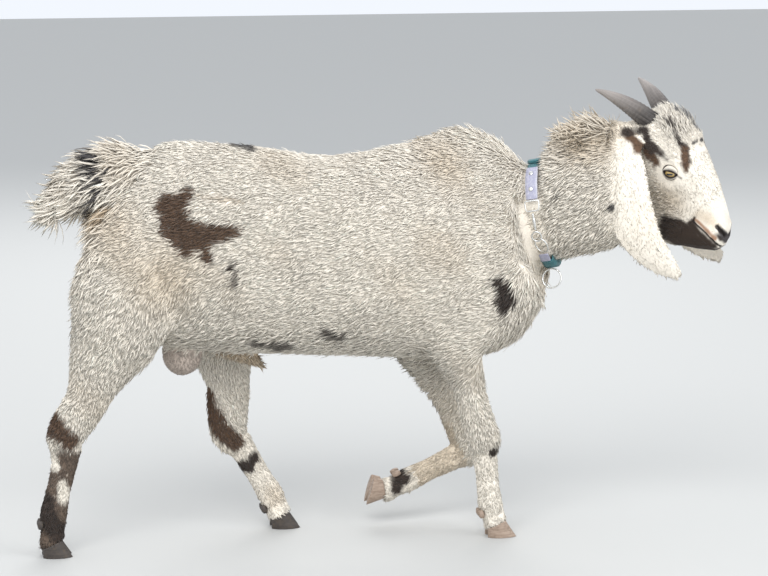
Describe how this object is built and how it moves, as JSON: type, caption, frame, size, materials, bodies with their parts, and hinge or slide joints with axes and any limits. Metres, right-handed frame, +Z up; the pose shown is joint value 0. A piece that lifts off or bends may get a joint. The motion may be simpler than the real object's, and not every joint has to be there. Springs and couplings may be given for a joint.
{
  "type": "goat",
  "caption": "Life-size still model of a young horned goat in mid-step with its head turned aside, long lop ears, and a webbing collar with metal fittings.",
  "frame": {"origin": "middle of the model's box, on the ground under the hooves", "axes": "+X the way the body faces and the longest extent, +Y the goat's left side, +Z up"},
  "size_m": [1.4174, 0.3564, 0.9207],
  "materials": {
    "coat_white": "cream-white hair over skin, matte",
    "coat_brown": "dark brown hair over skin, matte",
    "bare_skin": "thinly haired pinkish skin",
    "horn": "grey horn, low sheen",
    "hoof_pale": "pale beige hoof horn, low sheen",
    "hoof_dark": "near-black hoof horn, low sheen",
    "eye": "wet pale amber eye",
    "webbing": "dark teal woven webbing",
    "strap_leather": "grey-lavender worn strap",
    "steel": "plated steel wire and rivets"
  },
  "bodies": {
    "root": {"collar_frame": "steel", "collar_leather": "strap_leather", "collar_ring_lower": "steel", "collar_ring_upper": "steel", "collar_rivet_lower": "steel", "collar_rivet_upper": "steel", "collar_slide": "webbing", "collar_snap_barrel": "steel", "collar_snap_hook": "steel", "collar_tab": "strap_leather", "collar_webbing": "webbing", "ear_left": "coat_white", "ear_right": "coat_white", "eye_left": "eye", "eye_right": "eye", "foreleg_left_cannon": "coat_white", "foreleg_left_claw_inner": "hoof_pale", "foreleg_left_claw_outer": "hoof_pale", "foreleg_left_dewclaw_inner": "hoof_pale", "foreleg_left_dewclaw_outer": "hoof_pale", "foreleg_left_foot": "coat_white", "foreleg_left_forearm": "coat_white", "foreleg_right_cannon": "coat_white", "foreleg_right_claw_inner": "hoof_pale", "foreleg_right_claw_outer": "hoof_pale", "foreleg_right_dewclaw_inner": "hoof_pale", "foreleg_right_dewclaw_outer": "hoof_pale", "foreleg_right_foot": "coat_white", "foreleg_right_forearm": "coat_white", "hindleg_left_cannon": "coat_brown", "hindleg_left_claw_inner": "hoof_dark", "hindleg_left_claw_outer": "hoof_dark", "hindleg_left_dewclaw_inner": "hoof_dark", "hindleg_left_dewclaw_outer": "hoof_dark", "hindleg_left_foot": "coat_brown", "hindleg_left_gaskin": "coat_white", "hindleg_right_cannon": "coat_brown", "hindleg_right_claw_inner": "hoof_dark", "hindleg_right_claw_outer": "hoof_dark", "hindleg_right_dewclaw_inner": "hoof_dark", "hindleg_right_dewclaw_outer": "hoof_dark", "hindleg_right_foot": "coat_brown", "hindleg_right_gaskin": "coat_white", "head": "coat_white", "horn_left": "horn", "horn_right": "horn", "neck": "coat_white", "scrotum": "bare_skin", "sheath": "coat_brown", "tail": "coat_white", "trunk": "coat_white"}
  },
  "joints": []
}
